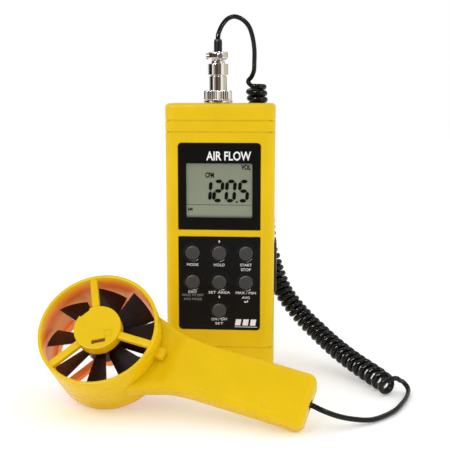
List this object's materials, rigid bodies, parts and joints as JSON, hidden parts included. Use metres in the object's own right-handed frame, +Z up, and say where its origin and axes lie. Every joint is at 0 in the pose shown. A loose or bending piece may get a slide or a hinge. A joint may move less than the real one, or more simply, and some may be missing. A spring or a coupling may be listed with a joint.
{
  "type": "vane anemometer",
  "caption": "Hand-held air-flow meter with a display, keys and a top plug, joined by a coiled cord to a vane probe that has a bladed rotor in a ring and a flat handle.",
  "frame": {"origin": "centre of the meter case's bottom face, on the floor", "axes": "+Z up the upright meter, -Y out of its display, +X to its right as seen from the front; the probe lies in front of it on the floor"},
  "size_m": [0.2236, 0.1623, 0.2383],
  "materials": {
    "case_yellow": "satin",
    "probe_yellow": "satin",
    "bezel_black": "gloss",
    "overlay_black": "satin",
    "window_clear": "clear",
    "lcd_grey": "satin",
    "holder_white": "matte",
    "mat_rubber": "matte",
    "key_rubber": "matte",
    "board_green": "satin",
    "board_red": "satin",
    "chip_black": "matte",
    "battery_grey": "satin",
    "black_plastic": "matte",
    "nickel": "polished",
    "steel": "satin",
    "bronze": "satin",
    "pin_brass": "satin",
    "blade_black": "satin",
    "magnet_black": "satin",
    "sleeve_rubber": "matte",
    "cord_black": "satin"
  },
  "bodies": {
    "meter": {"front_case": "case_yellow", "rear_case": "case_yellow", "display_bezel": "bezel_black", "display_window": "window_clear", "lcd_glass": "lcd_grey", "lcd_holder": "holder_white", "keypad_overlay": "overlay_black", "key_mat": "mat_rubber", "main_board": "board_green", "processor_chip": "chip_black", "battery": "battery_grey", "battery_snap": "black_plastic", "case_screw_1": "steel", "case_screw_2": "steel", "case_screw_3": "steel", "case_screw_4": "steel", "side_jack_strip": "black_plastic", "data_jack": "black_plastic", "power_jack": "black_plastic", "probe_socket": "nickel", "socket_nut": "nickel", "socket_insert": "black_plastic", "stand_pin": "steel", "cord_coil": "cord_black", "cord_tail": "cord_black"},
    "plug": {"plug_body": "nickel", "plug_insert": "pin_brass", "cable_clamp": "nickel", "clamp_screw_front": "steel", "clamp_screw_side": "steel", "cord_sleeve": "sleeve_rubber", "cord_lead": "cord_black"},
    "ring": {"coupling_ring": "nickel"},
    "battery_hatch": {"battery_cover": "case_yellow", "battery_cover_screw": "steel"},
    "stand": {"tilt_stand": "case_yellow"},
    "key_mode_cap": {"key_mode": "key_rubber"},
    "key_hold_cap": {"key_hold": "key_rubber"},
    "key_start_stop_cap": {"key_start_stop": "key_rubber"},
    "key_exit_cap": {"key_exit": "key_rubber"},
    "key_area_cap": {"key_area": "key_rubber"},
    "key_max_min_cap": {"key_max_min": "key_rubber"},
    "key_power_cap": {"key_power": "key_rubber"},
    "probe": {"handle_front": "probe_yellow", "handle_rear": "probe_yellow", "handle_screw_1": "steel", "handle_screw_2": "steel", "cord_grommet": "sleeve_rubber", "vane_housing": "probe_yellow", "rear_guard": "probe_yellow", "front_bearing": "bronze", "rear_bearing": "bronze", "pickup_board": "board_red"},
    "rotor": {"impeller": "blade_black", "rotor_shaft": "steel", "rotor_magnet": "magnet_black"}
  },
  "joints": [
    {"name": "plug_pull", "type": "slide", "parent": "meter", "child": "plug", "axis": [0, 0, 1], "range_m": [0, 0.014]},
    {"name": "ring_turn", "type": "hinge", "parent": "plug", "child": "ring", "pos_m": [-0.002, 0, 0.185], "axis": [0, 0, 1], "continuous": true},
    {"name": "stand_swing", "type": "hinge", "parent": "meter", "child": "stand", "pos_m": [0, 0.0145, 0.141], "axis": [1, 0, 0], "range_deg": [0, 65]},
    {"name": "battery_hatch_lift", "type": "slide", "parent": "meter", "child": "battery_hatch", "axis": [0, 1, 0], "range_m": [0, 0.02]},
    {"name": "key_mode_press", "type": "slide", "parent": "meter", "child": "key_mode_cap", "axis": [0, 1, 0], "range_m": [0, 0.001], "stiffness_N_per_m": 300, "springref_m": -0.001},
    {"name": "key_hold_press", "type": "slide", "parent": "meter", "child": "key_hold_cap", "axis": [0, 1, 0], "range_m": [0, 0.001], "stiffness_N_per_m": 300, "springref_m": -0.001},
    {"name": "key_start_stop_press", "type": "slide", "parent": "meter", "child": "key_start_stop_cap", "axis": [0, 1, 0], "range_m": [0, 0.001], "stiffness_N_per_m": 300, "springref_m": -0.001},
    {"name": "key_exit_press", "type": "slide", "parent": "meter", "child": "key_exit_cap", "axis": [0, 1, 0], "range_m": [0, 0.001], "stiffness_N_per_m": 300, "springref_m": -0.001},
    {"name": "key_area_press", "type": "slide", "parent": "meter", "child": "key_area_cap", "axis": [0, 1, 0], "range_m": [0, 0.001], "stiffness_N_per_m": 300, "springref_m": -0.001},
    {"name": "key_max_min_press", "type": "slide", "parent": "meter", "child": "key_max_min_cap", "axis": [0, 1, 0], "range_m": [0, 0.001], "stiffness_N_per_m": 300, "springref_m": -0.001},
    {"name": "key_power_press", "type": "slide", "parent": "meter", "child": "key_power_cap", "axis": [0, 1, 0], "range_m": [0, 0.001], "stiffness_N_per_m": 300, "springref_m": -0.001},
    {"name": "probe_lift", "type": "slide", "parent": "meter", "child": "probe", "axis": [0, -0.6, 0.8], "range_m": [0, 0.06]},
    {"name": "rotor_spin", "type": "hinge", "parent": "probe", "child": "rotor", "pos_m": [-0.06475, -0.09724, 0.05135], "axis": [-0.0746, -0.7365, 0.6723], "continuous": true}
  ]
}
